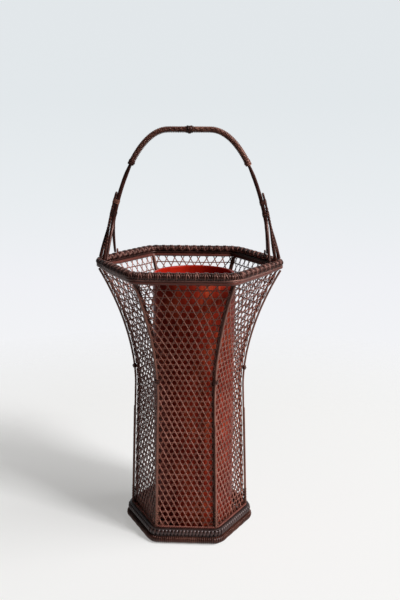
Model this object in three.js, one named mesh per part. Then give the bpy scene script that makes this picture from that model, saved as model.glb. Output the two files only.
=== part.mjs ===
// Handled flower basket: a six-sided openwork bamboo basket with an arched handle and a loose tube inside.
// Millimetres, +Z up, the floor at Z = 0. Two corners of the hexagon lie on the X axis, under the handle.

import * as THREE from 'three';

// Clearance between pieces that touch
const gap = 0.3;

// Body, measured from the axis to the outer face of a corner rib
const mouthRadius = 102;
const mouthHeight = 298;
const waistRadius = 61.7;
const waistHeight = 165;
const heelRadius = 66.5;
const heelHeight = 20;
const flare = 1.9;

// Woven wall and floor
const wallThickness = 1;
const wallBottom = 3.2;
const weaveRows = 13;
const weaveColumns = 3;
const weaveBorder = 4;
const strandShare = 0.15;
const floorHeight = 6;
const floorThickness = 2;
const lathWidth = 6;
const lathThickness = 1.6;
const lathSpacing = 36;

// Corner ribs and their ties
const ribProud = 2;
const ribWidthAtFoot = 4.2;
const ribWidthAtMouth = 6;
const tieHeight = 184;
const tieTall = 3.6;
const tieThickness = 0.8;
const innerRibWidth = 4.4;
const innerRibThickness = 2.6;

// Rim
const rimTop = 308;
const rimRollTall = 8;
const rimRollWide = 9;
const rimOverhang = 1.7;
const rimBend = 16;
const rimWrapPitch = 9.3;
const hoopTall = 4.2;
const hoopThickness = 1.8;
const hoopInnerBend = 0.6;

// Foot
const footRollTall = 8;
const footRollWide = 8;
const footInnerBend = 10;
const beadTall = 7.4;
const beadWide = 6.4;
const beadPitch = 5.4;
const footCordThickness = 2.6;
const wrapDepth = 0.16;

// Handle, its fork above the rim and the rest above the fork
const forkRise = 42;
const archRise = 94.3;
const archFlankRise = 55;
const flankTopRise = 55.5;
const gripEndRise = 60;
const forkHeight = rimTop + forkRise;
const archTop = forkHeight + archRise;
const archFlankHeight = forkHeight + archFlankRise;
const flankTop = forkHeight + flankTopRise;
const gripEndHeight = forkHeight + gripEndRise;
const archFlatInset = 80;
const archShoulderInset = 54;
const archFlankInset = 32;
const forkInset = 20;
const caneTall = 3.4;
const caneTallOnFlank = 4.3;
const caneWide = 2.4;
const caneTallAtFoot = 2.6;
const caneFootAway = 28.6;
const wrapThickness = 0.7;
const wrapClearance = 0.65;
const wrapWidth = 2.4;
const wrapLoops = 18;
const knotTall = 9;
const knotThickness = 1.4;
const endKnotTall = 7;
const endKnotThickness = 0.9;

// Corner legs
const legCaneThickness = 2.4;
const legFootThickness = 3;
const legFootSpread = 2;
const legRiseAboveFork = 25.5;
const legLashingRises = [18, 5.5];
const legTurnBelowFork = 6;
const legTurnAboveRim = 8;
const legFootInset = 6.5;
const legFootSink = 0.2;
const legEndAboveHoop = 1;
const lashingTall = 4.5;
const lashingThickness = 0.8;

// Loose tube, 90 across, with its clearance from the wall's right sides at the waist
const tubeClearance = 1.3716;
const tubeWall = 3.5;
const tubeTop = 292;
const tubeFloor = 7;
const tubeShift = 5;
const tubeNodeDepth = 0.6;
const tubeNodeHeights = [92, 205];

// Finishes
const finishes = {
  weave: { color: 0x3a2622, roughness: 0.6, metalness: 0 },
  rib: { color: 0x4a2d27, roughness: 0.5, metalness: 0 },
  rim: { color: 0x3f231e, roughness: 0.55, metalness: 0 },
  hoop: { color: 0x6b332c, roughness: 0.5, metalness: 0 },
  foot: { color: 0x33211f, roughness: 0.5, metalness: 0 },
  cane: { color: 0x5a3431, roughness: 0.45, metalness: 0 },
  wrap: { color: 0x55302b, roughness: 0.5, metalness: 0 },
  tube: { color: 0x7a1c10, roughness: 0.35, metalness: 0 },
};

const basket = new THREE.Group();
const sixth = Math.PI / 3;
const cos30 = Math.cos(Math.PI / 6);
const tan30 = Math.tan(Math.PI / 6);

// Adds one named piece
function add(name, finish, geometry) {
  const mesh = new THREE.Mesh(geometry, new THREE.MeshStandardMaterial(finishes[finish]));
  mesh.name = name;
  basket.add(mesh);
  return mesh;
}

// Six times the volume of a closed mesh, positive when its faces look outwards
function signedVolume(geometry) {
  const position = geometry.attributes.position;
  const index = geometry.index;
  const corners = [new THREE.Vector3(), new THREE.Vector3(), new THREE.Vector3()];
  const cross = new THREE.Vector3();
  let volume = 0;
  for (let i = 0; i < index.count; i += 3) {
    corners.forEach((corner, k) => corner.fromBufferAttribute(position, index.getX(i + k)));
    volume += corners[0].dot(cross.crossVectors(corners[1], corners[2]));
  }
  return volume;
}

// Builds a mesh from points and triangles, its faces turned outwards
function solid(points, triangles) {
  const geometry = new THREE.BufferGeometry();
  geometry.setFromPoints(points);
  geometry.setIndex(triangles);
  if (signedVolume(geometry) < 0) {
    geometry.setIndex(triangles.reverse());
  }
  geometry.computeVertexNormals();
  return geometry;
}

// Joins rings of points, each with the same number of points. An open loft is capped at both ends;
// the cap's triangles come from the flat outline that the rings share.
function loft(rings, outline = null) {
  const sides = rings[0].length;
  const closed = outline === null;
  const triangles = [];
  const spans = closed ? rings.length : rings.length - 1;
  for (let i = 0; i < spans; i++) {
    const here = i * sides;
    const next = ((i + 1) % rings.length) * sides;
    for (let j = 0; j < sides; j++) {
      const k = (j + 1) % sides;
      triangles.push(here + j, next + j, next + k, here + j, next + k, here + k);
    }
  }
  if (!closed) {
    const last = (rings.length - 1) * sides;
    const clockwise = THREE.ShapeUtils.isClockWise(outline);
    for (const [a, b, c] of THREE.ShapeUtils.triangulateShape(outline, [])) {
      const near = clockwise ? [a, c, b] : [a, b, c];
      triangles.push(near[0], near[1], near[2]);
      triangles.push(last + near[2], last + near[1], last + near[0]);
    }
  }
  return solid(rings.flat(), triangles);
}

// Points round an ellipse of a full width and height, with flat edges at its top and bottom
function ellipse(wide, tall, count) {
  const angles = Array.from({ length: count }, (_, i) => Math.PI / 2 + ((i + 0.5) * 2 * Math.PI) / count);
  const widest = Math.max(...angles.map(Math.cos));
  const tallest = Math.max(...angles.map(Math.sin));
  return angles.map((angle) => {
    const x = (Math.cos(angle) * wide) / 2 / widest;
    const y = (Math.sin(angle) * tall) / 2 / tallest;
    return new THREE.Vector2(x, y);
  });
}

// Outer face of a corner rib, from the axis, at a height
function ribRadius(height) {
  if (height > waistHeight) {
    const rise = (height - waistHeight) / (mouthHeight - waistHeight);
    return waistRadius + (mouthRadius - waistRadius) * rise ** flare;
  }
  const drop = (waistHeight - height) / (waistHeight - heelHeight);
  return waistRadius + (heelRadius - waistRadius) * drop;
}

// Corner of the woven wall's outer face, and the flat side's distance from the axis
const wallRadius = (height) => ribRadius(height) - ribProud;
const wallApothem = (height) => wallRadius(height) * cos30;

const wallTop = rimTop - rimRollTall - gap;
const hoopBottom = wallTop - hoopTall;

// Points along a hexagon with rounded corners, each with its outward direction
function hexagonStations(apothem, bend, sideSteps, bendSteps) {
  const stations = [];
  const straight = (apothem - bend) * tan30;
  for (let side = 0; side < 6; side++) {
    const facing = (side + 0.5) * sixth;
    const out = new THREE.Vector2(Math.cos(facing), Math.sin(facing));
    const along = new THREE.Vector2(-out.y, out.x);
    for (let i = 0; i < sideSteps; i++) {
      const t = straight * ((2 * i) / sideSteps - 1);
      const point = out.clone().multiplyScalar(apothem).addScaledVector(along, t);
      stations.push({ point, out: out.clone() });
    }
    const corner = (side + 1) * sixth;
    const centre = new THREE.Vector2(Math.cos(corner), Math.sin(corner));
    centre.multiplyScalar((apothem - bend) / cos30);
    for (let i = 0; i < bendSteps; i++) {
      const angle = facing + (sixth * i) / bendSteps;
      const turn = new THREE.Vector2(Math.cos(angle), Math.sin(angle));
      const point = centre.clone().addScaledVector(turn, bend);
      stations.push({ point, out: turn });
    }
  }
  return stations;
}

// A ring that follows the hexagon. Its section may swell and shrink from one station to the next.
function hexagonRing(stations, middle, section, swell) {
  return loft(
    stations.map((station, i) => {
      const size = swell(i);
      return section.map((p) => {
        const x = station.point.x + station.out.x * p.x * size;
        const y = station.point.y + station.out.y * p.x * size;
        return new THREE.Vector3(x, y, middle + p.y * size);
      });
    }),
  );
}

const even = () => 1;
const wrapped = (i) => (i % 2 === 0 ? 1 : 1 - wrapDepth);

// Steps along one straight side that put a wrap at every pitch
function wrapSteps(apothem, bend, pitch) {
  const length = 2 * (apothem - bend) * tan30;
  return 2 * Math.round(length / pitch);
}

// Heights of the weave's rows: a row is as tall as the panel there is wide, times a constant share
function rowHeights() {
  const low = wallBottom + weaveBorder;
  const high = wallTop - weaveBorder;
  const steps = 400;
  const heightOf = (i) => low + ((i + 0.5) * (high - low)) / steps;
  const widths = Array.from({ length: steps }, (_, i) => wallRadius(heightOf(i)));
  const total = widths.reduce((sum, width) => sum + 1 / width, 0);
  const heights = [low];
  let sum = 0;
  widths.forEach((width, i) => {
    sum += 1 / width;
    while (heights.length <= weaveRows && sum >= (total * heights.length) / weaveRows - 1e-9) {
      heights.push(low + ((i + 1) * (high - low)) / steps);
    }
  });
  return heights;
}

// The openings of one row of the weave: hexagons, one fewer in every other row
function rowOpenings(row) {
  const columnShare = 2 / (weaveColumns + strandShare);
  const reach = (1 - strandShare) / 2;
  const count = weaveColumns - (row % 2);
  return Array.from({ length: count }, (_, column) =>
    Array.from({ length: 6 }, (_, k) => {
      const share = (column - (count - 1) / 2 + reach * Math.cos(k * sixth)) * columnShare;
      return new THREE.Vector2(share, row + 0.5 + (reach * Math.sin(k * sixth)) / cos30);
    }),
  );
}

// One woven side. Its places are shares of the side's half width and numbers of rows, so the openings
// grow from the waist to the mouth. Each row is cut into triangles by itself and bends at its edges.
function wallPanel(facing) {
  const heights = rowHeights();
  const places = [];
  const numbers = new Map();
  const faces = [];
  const number = (place) => {
    const key = `${place.x.toFixed(6)} ${place.y.toFixed(6)}`;
    if (!numbers.has(key)) {
      numbers.set(key, places.length);
      places.push(place);
    }
    return numbers.get(key);
  };
  for (let row = -1; row <= weaveRows; row++) {
    const openings = row < 0 || row === weaveRows ? [] : rowOpenings(row);
    const border = [[-1, row], [1, row], [1, row + 1], [-1, row + 1]];
    const outline = border.map(([x, y]) => new THREE.Vector2(x, y));
    const all = [outline, ...openings].flat();
    for (const face of THREE.ShapeUtils.triangulateShape(outline, openings)) {
      faces.push(face.map((k) => number(all[k])));
    }
  }
  const out = new THREE.Vector3(Math.cos(facing), Math.sin(facing), 0);
  const along = new THREE.Vector3(-out.y, out.x, 0);
  const bent = (depth) =>
    places.map(({ x, y }) => {
      const height = panelHeight(y, heights);
      const distance = wallApothem(height) - depth;
      const half = distance * tan30 - gap / 2 / cos30;
      const place = out.clone().multiplyScalar(distance).addScaledVector(along, x * half);
      place.z = height;
      return place;
    });
  return thicken(bent(0), bent(wallThickness), faces);
}

// Height of a row number; the rows before the first and after the last are the borders
function panelHeight(row, heights) {
  if (row <= 0) {
    return heights[0] + row * weaveBorder;
  }
  if (row >= weaveRows) {
    return heights[weaveRows] + (row - weaveRows) * weaveBorder;
  }
  const below = Math.floor(row);
  return heights[below] + (heights[below + 1] - heights[below]) * (row - below);
}

// Gives a sheet its thickness: its outer points, the same points on its inner face, and a strip of
// wall along every edge that only one of its faces has
function thicken(outer, inner, faces) {
  const count = outer.length;
  const free = new Map();
  for (const face of faces) {
    face.forEach((a, k) => {
      const b = face[(k + 1) % 3];
      if (!free.delete(`${b} ${a}`)) {
        free.set(`${a} ${b}`, [a, b]);
      }
    });
  }
  const triangles = faces.flatMap(([a, b, c]) => [a, b, c, c + count, b + count, a + count]);
  for (const [a, b] of free.values()) {
    triangles.push(b, a, a + count, b, a + count, b + count);
  }
  return solid([...outer, ...inner], triangles);
}

// A piece that lies along a corner of the body. The outline is across the rib and outwards from its face.
function cornerPiece(corner, heights, outline, widthAt) {
  const out = new THREE.Vector2(Math.cos(corner), Math.sin(corner));
  const rings = heights.map((height) =>
    outline.map((p) => {
      const across = p.x * widthAt(height);
      const radius = ribRadius(height) + p.y + (p.back ? -Math.abs(across) * tan30 : 0);
      return new THREE.Vector3(out.x * radius - out.y * across, out.y * radius + out.x * across, height);
    }),
  );
  return loft(rings, outline.map((p) => new THREE.Vector2(p.x, p.y - (p.back ? Math.abs(p.x) : 0))));
}

const point = (x, y, back = false) => ({ x, y, back });

const ribWidth = (height) => {
  const rise = Math.max(0, (height - waistHeight) / (mouthHeight - waistHeight));
  return ribWidthAtFoot + (ribWidthAtMouth - ribWidthAtFoot) * rise;
};

// Heights along a corner, shared with the wall's rows so that both bend at the same places
function cornerHeights(low, high) {
  const between = rowHeights().filter((height) => height > low + gap && height < high - gap);
  return [low, ...between, high];
}

// Body
const sides = ['back_right', 'back', 'back_left', 'front_left', 'front', 'front_right'];
sides.forEach((side, i) => {
  add(`wall_${side}`, 'weave', wallPanel((i + 0.5) * sixth));
});

function hexagonPlate(radius, thickness) {
  const shape = new THREE.Shape();
  for (let k = 0; k < 6; k++) {
    const x = radius * Math.cos(k * sixth);
    const y = radius * Math.sin(k * sixth);
    if (k === 0) {
      shape.moveTo(x, y);
    } else {
      shape.lineTo(x, y);
    }
  }
  return new THREE.ExtrudeGeometry(shape, { depth: thickness, bevelEnabled: false });
}

const insideRadius = wallRadius(floorHeight + floorThickness) - (wallThickness + gap) / cos30;
const floor = add('floor_weave', 'weave', hexagonPlate(insideRadius, floorThickness));
floor.position.z = floorHeight;

const lathReach = insideRadius - (lathSpacing / 2 + lathWidth / 2) * tan30;
['front', 'back'].forEach((side, i) => {
  const box = new THREE.BoxGeometry(2 * lathReach, lathWidth, lathThickness);
  const lath = add(`floor_lath_${side}`, 'rib', box);
  lath.position.set(0, (i - 0.5) * lathSpacing, floorHeight - gap - lathThickness / 2);
});

// Foot: a flat-bottomed roll, a row of beads and a thin cord, all round the wall. They bend round its
// corners, which they nearly touch, and stand a little off its sides.
function footRing(name, finish, bottom, tall, wide, pitch, count) {
  const middle = bottom + tall / 2;
  const corner = wallRadius(bottom) + gap;
  const apothem = corner * cos30 + (1 - cos30) * footInnerBend + wide / 2;
  const bend = footInnerBend + wide / 2;
  const sideSteps = pitch ? wrapSteps(apothem, bend, pitch) : 1;
  const stations = hexagonStations(apothem, bend, sideSteps, pitch ? 5 : 4);
  add(name, finish, hexagonRing(stations, middle, ellipse(wide, tall, count), pitch ? wrapped : even));
  return bottom + tall + gap;
}

const beadBottom = footRing('foot_roll', 'foot', 0, footRollTall, footRollWide, 0, 8);
const cordBottom = footRing('foot_beads', 'foot', beadBottom, beadTall, beadWide, beadPitch, 6);
const ribBottom = footRing('foot_cord', 'hoop', cordBottom, footCordThickness, footCordThickness, 0, 6);
const ribOutline = [
  point(-0.5, -ribProud + gap, true),
  point(0, -ribProud + gap, true),
  point(0.5, -ribProud + gap, true),
  point(0.42, -0.75),
  point(0.2, -0.12),
  point(-0.2, -0.12),
  point(-0.42, -0.75),
];
const corners = ['right', 'back_right', 'back_left', 'left', 'front_left', 'front_right'];
corners.forEach((corner, i) => {
  const heights = cornerHeights(ribBottom, hoopBottom - gap);
  add(`rib_${corner}`, 'rib', cornerPiece(i * sixth, heights, ribOutline, ribWidth));
});

// A tie goes over the rib from one side of the corner to the other
const tieReach = ribWidth(tieHeight) / 2 + gap;
const tieOutline = [
  point(-tieReach - tieThickness, -ribProud + gap, true),
  point(-tieReach - tieThickness, -0.9),
  point(-tieReach / 2, gap + tieThickness),
  point(tieReach / 2, gap + tieThickness),
  point(tieReach + tieThickness, -0.9),
  point(tieReach + tieThickness, -ribProud + gap, true),
  point(tieReach, -ribProud + gap, true),
  point(tieReach, -0.9),
  point(tieReach / 2, gap),
  point(-tieReach / 2, gap),
  point(-tieReach, -0.9),
  point(-tieReach, -ribProud + gap, true),
];
corners.forEach((corner, i) => {
  const heights = [tieHeight - tieTall / 2, tieHeight + tieTall / 2];
  add(`rib_tie_${corner}`, 'wrap', cornerPiece(i * sixth, heights, tieOutline, () => 1));
});

// Inner ribs fill the corners inside the wall, from the floor to the hoop
const innerRibBack = -ribProud - (wallThickness + gap) / cos30;
const innerRibOutline = [
  point(-0.5, innerRibBack, true),
  point(0, innerRibBack, true),
  point(0.5, innerRibBack, true),
  point(0.3, innerRibBack - innerRibThickness),
  point(-0.3, innerRibBack - innerRibThickness),
];
corners.forEach((corner, i) => {
  const heights = cornerHeights(floorHeight + floorThickness + gap, hoopBottom - gap);
  add(`inner_rib_${corner}`, 'rib', cornerPiece(i * sixth, heights, innerRibOutline, () => innerRibWidth));
});

// Rim: a wrapped roll on top of the wall, and a hoop on each side of the wall under it
const rimApothem = wallApothem(wallTop) - wallThickness / 2 + rimOverhang;
const rimStations = hexagonStations(rimApothem, rimBend, wrapSteps(rimApothem, rimBend, rimWrapPitch), 4);
const rimMiddle = rimTop - rimRollTall / 2;
const rimSection = ellipse(rimRollWide, rimRollTall, 6);
add('rim_roll', 'rim', hexagonRing(rimStations, rimMiddle, rimSection, wrapped));

// A flat hoop that follows the flare of the wall. Its corners are found at each height by themselves.
function rimHoop(name, innerFace) {
  const edges = [
    [hoopBottom, 0],
    [hoopBottom, hoopThickness],
    [wallTop, hoopThickness],
    [wallTop, 0],
  ].map(([height, depth]) =>
    hexagonStations(wallApothem(height) + innerFace + depth, hoopInnerBend + depth, 1, 3).map(
      (station) => new THREE.Vector3(station.point.x, station.point.y, height),
    ),
  );
  add(name, 'hoop', loft(edges[0].map((_, i) => edges.map((edge) => edge[i]))));
}
rimHoop('rim_outer_hoop', gap);
rimHoop('rim_inner_hoop', -wallThickness - gap - hoopThickness);

// Handle: the right half of the arch's middle line, from the top to the fork
const archBend = new THREE.CubicBezierCurve3(
  new THREE.Vector3(mouthRadius - archFlatInset, 0, archTop),
  new THREE.Vector3(mouthRadius - archShoulderInset, 0, archTop),
  new THREE.Vector3(mouthRadius - archFlankInset, 0, archFlankHeight),
  new THREE.Vector3(mouthRadius - forkInset, 0, forkHeight),
);
const arch = new THREE.CurvePath();
arch.add(new THREE.LineCurve3(new THREE.Vector3(0, 0, archTop), archBend.v0));
arch.add(archBend);

// Place on the arch at a height below its top, with the direction away from the basket's middle
function archAt(height) {
  let high = 0;
  let low = 1;
  for (let i = 0; i < 40; i++) {
    const middle = (high + low) / 2;
    if (archBend.getPoint(middle).z > height) {
      high = middle;
    } else {
      low = middle;
    }
  }
  const tangent = archBend.getTangent(low);
  return { place: archBend.getPoint(low), tangent, out: new THREE.Vector3(-tangent.z, 0, tangent.x) };
}

// Sweeps a section along points. The section's Y is the direction across, which is square to the plane
// of the line, and its X lies in that plane. Each may grow or shrink from one point to the next.
function sweep(points, section, stretchX, stretchY = even, across = new THREE.Vector3(0, 1, 0)) {
  const rings = points.map((place, i) => {
    const before = points[Math.max(i - 1, 0)];
    const after = points[Math.min(i + 1, points.length - 1)];
    const tangent = after.clone().sub(before).normalize();
    const side = across.clone().addScaledVector(tangent, -across.dot(tangent)).normalize();
    const normal = side.clone().cross(tangent);
    return section.map((p) =>
      place
        .clone()
        .addScaledVector(normal, p.x * stretchX(i))
        .addScaledVector(side, p.y * stretchY(i)),
    );
  });
  return loft(rings, section);
}

// The left side of the handle mirrors the right
const mirrored = (place) => new THREE.Vector3(-place.x, place.y, place.z);

// Each cane runs from a foot on the rim over the arch to the foot on the other side
const caneOffset = (caneWide + gap) / 2;

// A cane's foot stands on the rim roll, to the front or back of the corner
function caneFoot(side) {
  const x = (rimApothem - caneFootAway / 2) / cos30;
  return new THREE.Vector3(x, side * caneFootAway, rimTop + gap + caneTallAtFoot * 0.4);
}

// A cane is thickest on its flanks, between the grip and the fork, and tapers from there to its feet
function caneTallAt(height) {
  const { lerp, clamp } = THREE.MathUtils;
  const intoGrip = clamp(1 + (height - flankTop) / 8, 0, 1);
  const fromFoot = clamp((height - rimTop) / (forkHeight - rimTop), 0, 1);
  return height > forkHeight
    ? lerp(caneTallOnFlank, caneTall, intoGrip)
    : lerp(caneTallAtFoot, caneTallOnFlank, fromFoot);
}

function handleCane(side) {
  const shift = new THREE.Vector3(0, side * caneOffset, 0);
  const half = arch.getSpacedPoints(22).map((place) => place.clone().add(shift));
  const start = half.at(-1);
  const knee = start.clone().addScaledVector(archBend.getTangent(1), 9);
  const legSteps = 6;
  const leg = new THREE.QuadraticBezierCurve3(start, knee, caneFoot(side)).getPoints(legSteps).slice(1);
  const right = [...half, ...leg];
  const left = right.slice(1).map(mirrored).reverse();
  const points = [...left, ...right];
  return sweep(points, ellipse(caneTall, caneWide, 6), (i) => caneTallAt(points[i].z) / caneTall);
}
add('handle_cane_front', 'cane', handleCane(-1));
add('handle_cane_back', 'cane', handleCane(1));

// Outline of a band pulled tight round canes. Each cane is given by its middle and its thickness.
function tightOutline(canes, away) {
  const count = 16;
  return Array.from({ length: count }, (_, i) => {
    const angle = (i * 2 * Math.PI) / count;
    const way = new THREE.Vector2(Math.cos(angle), Math.sin(angle));
    const reach = (cane) => cane.middle.dot(way) + cane.thickness / 2;
    const last = canes.reduce((far, cane) => (reach(cane) > reach(far) ? cane : far));
    return last.middle.clone().addScaledVector(way, last.thickness / 2 + away);
  });
}

// A band round canes that run along the arch. Its rounded section stands out most in the middle.
function band(place, tangent, canes, tall, thickness) {
  const side = new THREE.Vector3(0, 1, 0);
  const normal = tangent.clone().cross(side).normalize();
  const inner = tightOutline(canes, gap);
  const profile = [
    [-tall / 2, 0],
    [-tall / 2, thickness * 0.5],
    [0, thickness],
    [tall / 2, thickness * 0.5],
    [tall / 2, 0],
  ];
  const middle = inner.reduce((sum, p) => sum.add(p), new THREE.Vector2()).divideScalar(inner.length);
  const rings = inner.map((p) => {
    const way = p.clone().sub(middle).normalize();
    return profile.map(([along, out]) => {
      const at = p.clone().addScaledVector(way, out);
      return place
        .clone()
        .addScaledVector(tangent, along)
        .addScaledVector(normal, at.x)
        .addScaledVector(side, at.y);
    });
  });
  return loft(rings);
}

// A flat cane counts as two round ones side by side
const bothCanes = (tall) =>
  [-1, 1].flatMap((side) =>
    [-1, 1].map((edge) => ({
      middle: new THREE.Vector2((edge * (tall - caneWide)) / 2, side * caneOffset),
      thickness: caneWide,
    })),
  );
const archCanes = bothCanes(caneTall);

// The arch at a height, as a place for a band: its right side, or its mirrored left side
function archBand(name, height, side, canes, tall, thickness) {
  const { place, tangent } = archAt(height);
  const at = side > 0 ? place : mirrored(place);
  const along = side > 0 ? tangent : new THREE.Vector3(tangent.x, 0, -tangent.z);
  add(name, 'wrap', band(at, along, canes, tall, thickness));
}

// Knots of the grip: one in the middle and one at each end
const top = new THREE.Vector3(0, 0, archTop);
add('grip_knot', 'wrap', band(top, new THREE.Vector3(1, 0, 0), archCanes, knotTall, knotThickness));
const ends = [['left', -1], ['right', 1]];
for (const [side, sign] of ends) {
  archBand(`grip_end_knot_${side}`, gripEndHeight, sign, archCanes, endKnotTall, endKnotThickness);
}

// Corner legs: a cane bent double. Its halves lie behind each other beside the arch, with the loop at
// their top. Below the fork they turn to lie beside each other and spread. The outer half stands on the
// rim roll, and the inner one goes on down inside the roll and the hoop.
const legTop = forkHeight + legRiseAboveFork;
const legTurnTop = forkHeight - legTurnBelowFork;
const legTurnBottom = rimTop + legTurnAboveRim;
const legFootHeight = rimTop - legFootSink;
const legBottom = hoopBottom + legEndAboveHoop;
const legSpread = (legCaneThickness + gap) / 2;
const legOffset = caneTallOnFlank / 2 + gap + legCaneThickness / 2;
const hoopCorner = (height) => {
  const apothem = wallApothem(height) - wallThickness - gap - hoopThickness;
  return (apothem - hoopInnerBend) / cos30 + hoopInnerBend;
};

function legLine() {
  const beside = (height) => {
    const { place, out } = archAt(height);
    return place.clone().addScaledVector(out, legOffset);
  };
  const foot = new THREE.Vector3(mouthRadius - legFootInset, 0, legFootHeight);
  const high = [legTop, legTop - 7, legTop - 14, forkHeight + 3].map(beside);
  const low = high.at(-1).clone().lerp(foot, 0.5);
  return new THREE.CatmullRomCurve3([...high, low, foot], false, 'centripetal');
}

// How far a leg has turned and spread at a height, from 0 at the turn's top to 1
const legTurn = (height, bottom) =>
  THREE.MathUtils.clamp((legTurnTop - height) / (legTurnTop - bottom), 0, 1);

function cornerLeg(sign) {
  const line = legLine();
  const steps = 15;
  const strand = (way) =>
    Array.from({ length: steps + 1 }, (_, i) => {
      const at = line.getPointAt(i / steps);
      const tangent = line.getTangentAt(i / steps);
      const out = new THREE.Vector3(-tangent.z, 0, tangent.x);
      const angle = (Math.PI / 2) * legTurn(at.z, legTurnBottom);
      const spread = THREE.MathUtils.lerp(legSpread, legFootSpread, legTurn(at.z, legFootHeight));
      at.y += way * spread * Math.cos(angle);
      return at.addScaledVector(out, way * spread * Math.sin(angle));
    });
  const tangent = line.getTangentAt(0);
  const out = new THREE.Vector3(-tangent.z, 0, tangent.x);
  const loop = [1, 2, 3, 4].map((i) => {
    const angle = (i * Math.PI) / 5;
    const at = line.getPointAt(0).addScaledVector(tangent, -Math.sin(angle) * legSpread);
    at.y -= Math.cos(angle) * legSpread;
    return at;
  });
  const inside = hoopCorner(legBottom) - gap - legFootThickness / 2;
  const bottom = [rimTop - 5, legBottom].map((height) => new THREE.Vector3(inside, 0, height)).reverse();
  const right = [...bottom, ...strand(-1).reverse(), ...loop, ...strand(1)];
  const points = sign > 0 ? right : right.map(mirrored);
  const across = sign > 0 ? out : mirrored(out);
  const grown = legFootThickness / legCaneThickness;
  const stretch = (i) => THREE.MathUtils.lerp(1, grown, legTurn(points[i].z, legFootHeight));
  return sweep(points, ellipse(legCaneThickness, legCaneThickness, 6), stretch, stretch, across);
}

const legCanes = [-1, 1].map((way) => ({
  middle: new THREE.Vector2(legOffset, way * legSpread),
  thickness: legCaneThickness,
}));
for (const [side, sign] of ends) {
  add(`corner_leg_${side}`, 'cane', cornerLeg(sign));
  legLashingRises.forEach((rise, i) => {
    const name = `leg_lashing_${side}_${i === 0 ? 'upper' : 'lower'}`;
    const pieces = [...bothCanes(caneTallOnFlank), ...legCanes];
    archBand(name, forkHeight + rise, sign, pieces, lashingTall, lashingThickness);
  });
}

// Grip windings: one flat strand of split cane on each side, wound round both canes of the handle
function windingPoints() {
  const steps = 8;
  const start = knotTall / 2 + gap + wrapWidth / 2 + 0.4;
  const { place: last } = archAt(gripEndHeight);
  const line = arch.getSpacedPoints(400);
  const total = arch.getLength();
  const atKnot = (total * line.findIndex((place) => place.x >= last.x)) / (line.length - 1);
  const end = atKnot - endKnotTall / 2 - gap - wrapWidth / 2 - 0.4;
  const inPlane = caneTall / 2 + wrapClearance + wrapThickness / 2;
  const across = caneWide + gap / 2 + wrapClearance + wrapThickness / 2;
  const count = wrapLoops * steps;
  return Array.from({ length: count + 1 }, (_, i) => {
    const share = (start + ((end - start) * i) / count) / total;
    const at = arch.getPointAt(share);
    const tangent = arch.getTangentAt(share);
    const out = new THREE.Vector3(-tangent.z, 0, tangent.x);
    const angle = (i * 2 * Math.PI) / steps;
    const place = at.clone().addScaledVector(out, Math.cos(angle) * inPlane);
    place.y += Math.sin(angle) * across;
    return { middle: at, place, tangent };
  });
}

function windingRings() {
  const points = windingPoints();
  return points.map(({ middle, place, tangent }) => {
    const radial = place.clone().sub(middle).normalize();
    return [
      [-1, -1],
      [1, -1],
      [1, 1],
      [-1, 1],
    ].map(([along, out]) =>
      place
        .clone()
        .addScaledVector(tangent, (along * wrapWidth) / 2)
        .addScaledVector(radial, (out * wrapThickness) / 2),
    );
  });
}

// Least distance between one loop of a winding and the next, measured on the points of its surface
function leastGap(rings, steps) {
  let least = Infinity;
  for (let i = 0; i + steps - 1 < rings.length; i++) {
    for (let j = i + steps - 1; j <= Math.min(i + steps + 1, rings.length - 1); j++) {
      for (const a of rings[i]) {
        for (const b of rings[j]) {
          least = Math.min(least, a.distanceTo(b));
        }
      }
    }
  }
  return least;
}

const winding = windingRings();
const windingOutline = [[-1, -1], [1, -1], [1, 1], [-1, 1]].map(([x, y]) => new THREE.Vector2(x, y));
for (const [side, sign] of ends) {
  const rings = sign > 0 ? winding : winding.map((ring) => ring.map(mirrored));
  add(`grip_winding_${side}`, 'wrap', loft(rings, windingOutline));
}
console.log(`least gap between loops of a grip winding: ${leastGap(winding, 8).toFixed(2)} mm`);

// Loose tube: a length of bamboo with two node rings, closed at the bottom
const tubeBottom = floorHeight + floorThickness + gap;
const tubeRadius = wallApothem(waistHeight) - wallThickness - tubeShift * cos30 - tubeClearance;
function tubeProfile() {
  const profile = [
    [0, tubeBottom],
    [tubeRadius - 1.5, tubeBottom],
    [tubeRadius, tubeBottom + 1.5],
  ];
  for (const height of tubeNodeHeights) {
    profile.push([tubeRadius, height - 1.6]);
    profile.push([tubeRadius - tubeNodeDepth, height]);
    profile.push([tubeRadius, height + 1.6]);
  }
  profile.push([tubeRadius, tubeTop - 1]);
  profile.push([tubeRadius - 1, tubeTop]);
  profile.push([tubeRadius - tubeWall, tubeTop]);
  profile.push([tubeRadius - tubeWall, tubeBottom + tubeFloor]);
  profile.push([0, tubeBottom + tubeFloor]);
  return profile.map(([x, y]) => new THREE.Vector2(x, y));
}
const tubeGeometry = new THREE.LatheGeometry(tubeProfile(), 32);
tubeGeometry.rotateX(Math.PI / 2);
const tube = add('liner_tube', 'tube', tubeGeometry);
tube.position.x = tubeShift;

export default basket;
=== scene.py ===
# Handled flower basket of stained bamboo: hexagonal openwork weave, wound rim, foot and handle, and a
# lacquered tube standing loose inside it. Lengths here are millimetres and become metres in each mesh.
import math
import random

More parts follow.
